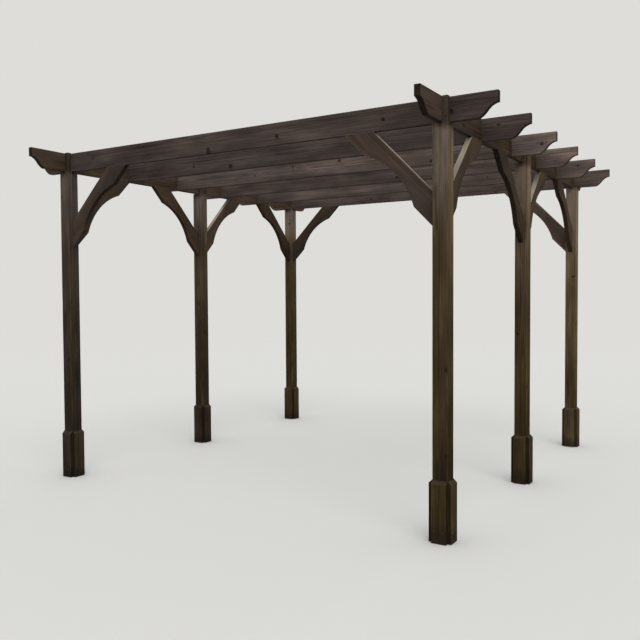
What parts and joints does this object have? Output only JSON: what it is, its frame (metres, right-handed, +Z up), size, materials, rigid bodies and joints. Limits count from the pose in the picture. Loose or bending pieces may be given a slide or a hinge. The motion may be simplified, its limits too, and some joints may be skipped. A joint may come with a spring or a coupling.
{
  "type": "wooden pergola",
  "caption": "Free-standing open timber pergola on posts, with side beams, rafters with shaped ends, arched braces and boarded post feet, for shade and climbing plants.",
  "frame": {"origin": "on the ground, midway between the posts", "axes": "+X to the right along the rafters, +Y from the front to the back along the side beams, +Z up"},
  "size_m": [3.875, 3.925, 2.604],
  "materials": {
    "posts": "dark rustic brown stain on planed softwood, upright grain",
    "foot_boards": "dark rustic brown stain, darker and damp towards the ground",
    "beams": "dark rustic brown stain on planed softwood, grain along the length, knots",
    "braces": "dark rustic brown stain, grain along the brace, worn upper edges"
  },
  "bodies": {
    "root": {"post_front_left": "posts", "foot_boards_front_left": "foot_boards", "post_front_right": "posts", "foot_boards_front_right": "foot_boards", "post_middle_left": "posts", "foot_boards_middle_left": "foot_boards", "post_middle_right": "posts", "foot_boards_middle_right": "foot_boards", "post_back_left": "posts", "foot_boards_back_left": "foot_boards", "post_back_right": "posts", "foot_boards_back_right": "foot_boards", "side_beam_left": "beams", "side_beam_right": "beams", "rafter_1": "beams", "rafter_2": "beams", "rafter_3": "beams", "rafter_4": "beams", "rafter_5": "beams", "rafter_6": "beams", "brace_across_front_left": "braces", "brace_across_front_right": "braces", "brace_across_back_left": "braces", "brace_across_back_right": "braces", "brace_front_left_to_back": "braces", "brace_middle_left_to_front": "braces", "brace_middle_left_to_back": "braces", "brace_back_left_to_front": "braces", "brace_front_right_to_back": "braces", "brace_middle_right_to_front": "braces", "brace_middle_right_to_back": "braces", "brace_back_right_to_front": "braces"}
  },
  "joints": []
}
